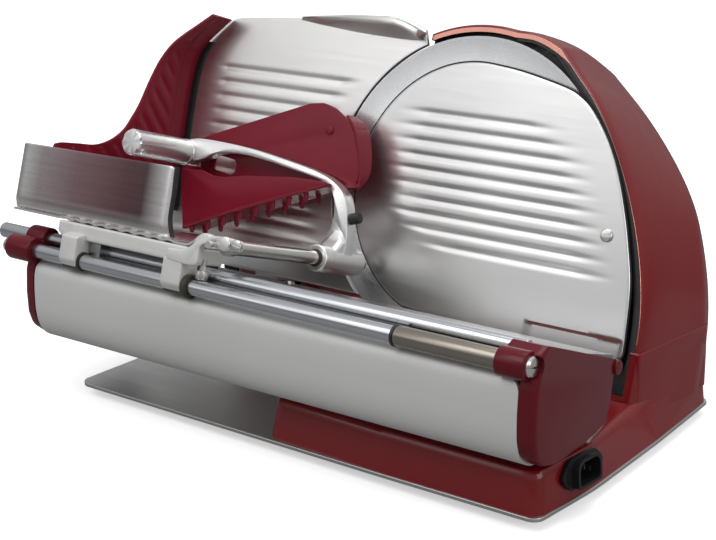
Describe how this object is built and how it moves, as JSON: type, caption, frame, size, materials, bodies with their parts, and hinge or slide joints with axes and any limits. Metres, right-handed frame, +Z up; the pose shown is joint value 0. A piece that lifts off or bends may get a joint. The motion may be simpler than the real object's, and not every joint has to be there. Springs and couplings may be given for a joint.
{
  "type": "food slicer",
  "caption": "Gravity-feed food slicer: round blade with ribbed cover, tilted gauge plate, sliding food table and last-slice holder on a domed red motor housing.",
  "frame": {"origin": "centre of the overall box, at the feet's undersides", "axes": "+X along the rails towards the motor side, +Y away from the operator, +Z up"},
  "size_m": [0.5206, 0.3558, 0.2975],
  "materials": {
    "red_enamel": "glossy metallic dark red enamel",
    "black_plastic": "black moulded plastic",
    "base_aluminium": "satin sheet",
    "blade_steel": "ground and polished",
    "turned_steel": "turned, bright",
    "motor_shell": "black",
    "rubber": "matt black",
    "brushed_aluminium": "brushed and anodised",
    "grey_casting": "light grey powder coat",
    "green_plastic": "green",
    "burgundy_plastic": "glossy burgundy",
    "satin_aluminium": "satin anodised",
    "deck_steel": "polished sheet",
    "chromed_bar": "chromed",
    "bronze_sleeve": "turned, warm tint",
    "bush_bronze": "dark olive",
    "polished_aluminium": "polished casting"
  },
  "bodies": {
    "base": {"housing": "red_enamel", "inlet": "black_plastic", "base_plate": "base_aluminium", "bearing_1": "turned_steel", "bearing_2": "turned_steel", "bearing_carrier": "turned_steel", "motor": "motor_shell", "motor_bracket": "turned_steel", "drive_belt": "rubber", "blade_cover": "brushed_aluminium", "cover_screw": "turned_steel", "rim_seal": "rubber", "gauge_rod": "turned_steel", "gauge_bracket": "grey_casting", "switch_body": "black_plastic", "right_cap": "burgundy_plastic", "left_cap": "burgundy_plastic", "front_panel": "satin_aluminium", "deck_plate": "deck_steel", "deck_screw_1": "turned_steel", "deck_screw_2": "turned_steel", "deck_screw_3": "turned_steel", "rail_beam": "grey_casting", "front_bar": "chromed_bar", "bar_sleeve": "bronze_sleeve", "stop_ring": "rubber", "bar_screw": "turned_steel", "rear_rod": "chromed_bar", "foot_1": "rubber", "foot_2": "rubber", "foot_3": "rubber", "foot_4": "rubber"},
    "blade": {"blade": "blade_steel", "blade_spindle": "turned_steel"},
    "motor_rotor": {"motor_pulley": "turned_steel"},
    "carriage": {"table": "brushed_aluminium", "wall_gasket": "rubber", "carriage_casting": "grey_casting", "bar_bush_1": "bush_bronze", "bar_bush_2": "bush_bronze", "slide_shoe": "black_plastic", "pusher_shaft": "turned_steel", "hand_guard": "burgundy_plastic"},
    "thumb_screw": {"thumb_screw": "turned_steel"},
    "pusher_slide": {"pusher_bush": "turned_steel"},
    "pusher": {"pusher_arm": "polished_aluminium", "pusher_grip": "polished_aluminium", "pusher_bumper": "rubber", "pusher_plate": "burgundy_plastic", "plate_screw": "burgundy_plastic"},
    "gauge": {"gauge_plate": "brushed_aluminium", "gauge_carrier": "grey_casting"},
    "knob": {"gauge_knob": "black_plastic", "knob_shaft": "turned_steel", "thickness_cam": "turned_steel"},
    "start_button": {"start_button": "green_plastic"},
    "stop_button": {"stop_button": "burgundy_plastic"}
  },
  "joints": [
    {"name": "blade_spin", "type": "hinge", "parent": "base", "child": "blade", "pos_m": [0.05975, 0.0426, 0.168], "axis": [0, 0.9558, -0.294], "continuous": true},
    {"name": "motor_spin", "type": "hinge", "parent": "base", "child": "motor_rotor", "pos_m": [0.17175, 0.0351, 0.08242], "axis": [0, 0.9558, -0.294], "continuous": true},
    {"name": "carriage_slide", "type": "slide", "parent": "base", "child": "carriage", "axis": [1, 0, 0], "range_m": [-0.019, 0.172]},
    {"name": "thumb_screw_turn", "type": "hinge", "parent": "carriage", "child": "thumb_screw", "pos_m": [-0.03245, -0.16273, 0.13177], "axis": [0, 0.294, 0.9558], "range_deg": [-180, 180]},
    {"name": "pusher_glide", "type": "slide", "parent": "carriage", "child": "pusher_slide", "axis": [0, 0.9558, -0.294], "range_m": [-0.092, 0]},
    {"name": "pusher_lift", "type": "hinge", "parent": "pusher_slide", "child": "pusher", "pos_m": [-0.01925, -0.01917, 0.11345], "axis": [0, 0.9558, -0.294], "range_deg": [0, 85]},
    {"name": "thickness_knob_turn", "type": "hinge", "parent": "base", "child": "knob", "pos_m": [-0.17825, 0.0706, 0.06], "axis": [1, 0, 0], "range_deg": [0, 300]},
    {"name": "gauge_slide", "type": "slide", "parent": "base", "child": "gauge", "axis": [0, 0.9558, -0.294], "range_m": [0, 0.015]},
    {"name": "start_button_press", "type": "slide", "parent": "base", "child": "start_button", "axis": [1, 0, 0], "range_m": [0, 0.0025], "stiffness_N_per_m": 400, "springref_m": -0.001},
    {"name": "stop_button_press", "type": "slide", "parent": "base", "child": "stop_button", "axis": [1, 0, 0], "range_m": [0, 0.0025], "stiffness_N_per_m": 400, "springref_m": -0.001}
  ],
  "couplings": [
    {"joint": "motor_spin", "follows": "blade_spin", "ratio": 3.3333},
    {"joint": "thickness_knob_turn", "follows": "gauge_slide", "rad_per_m": 349.06}
  ]
}
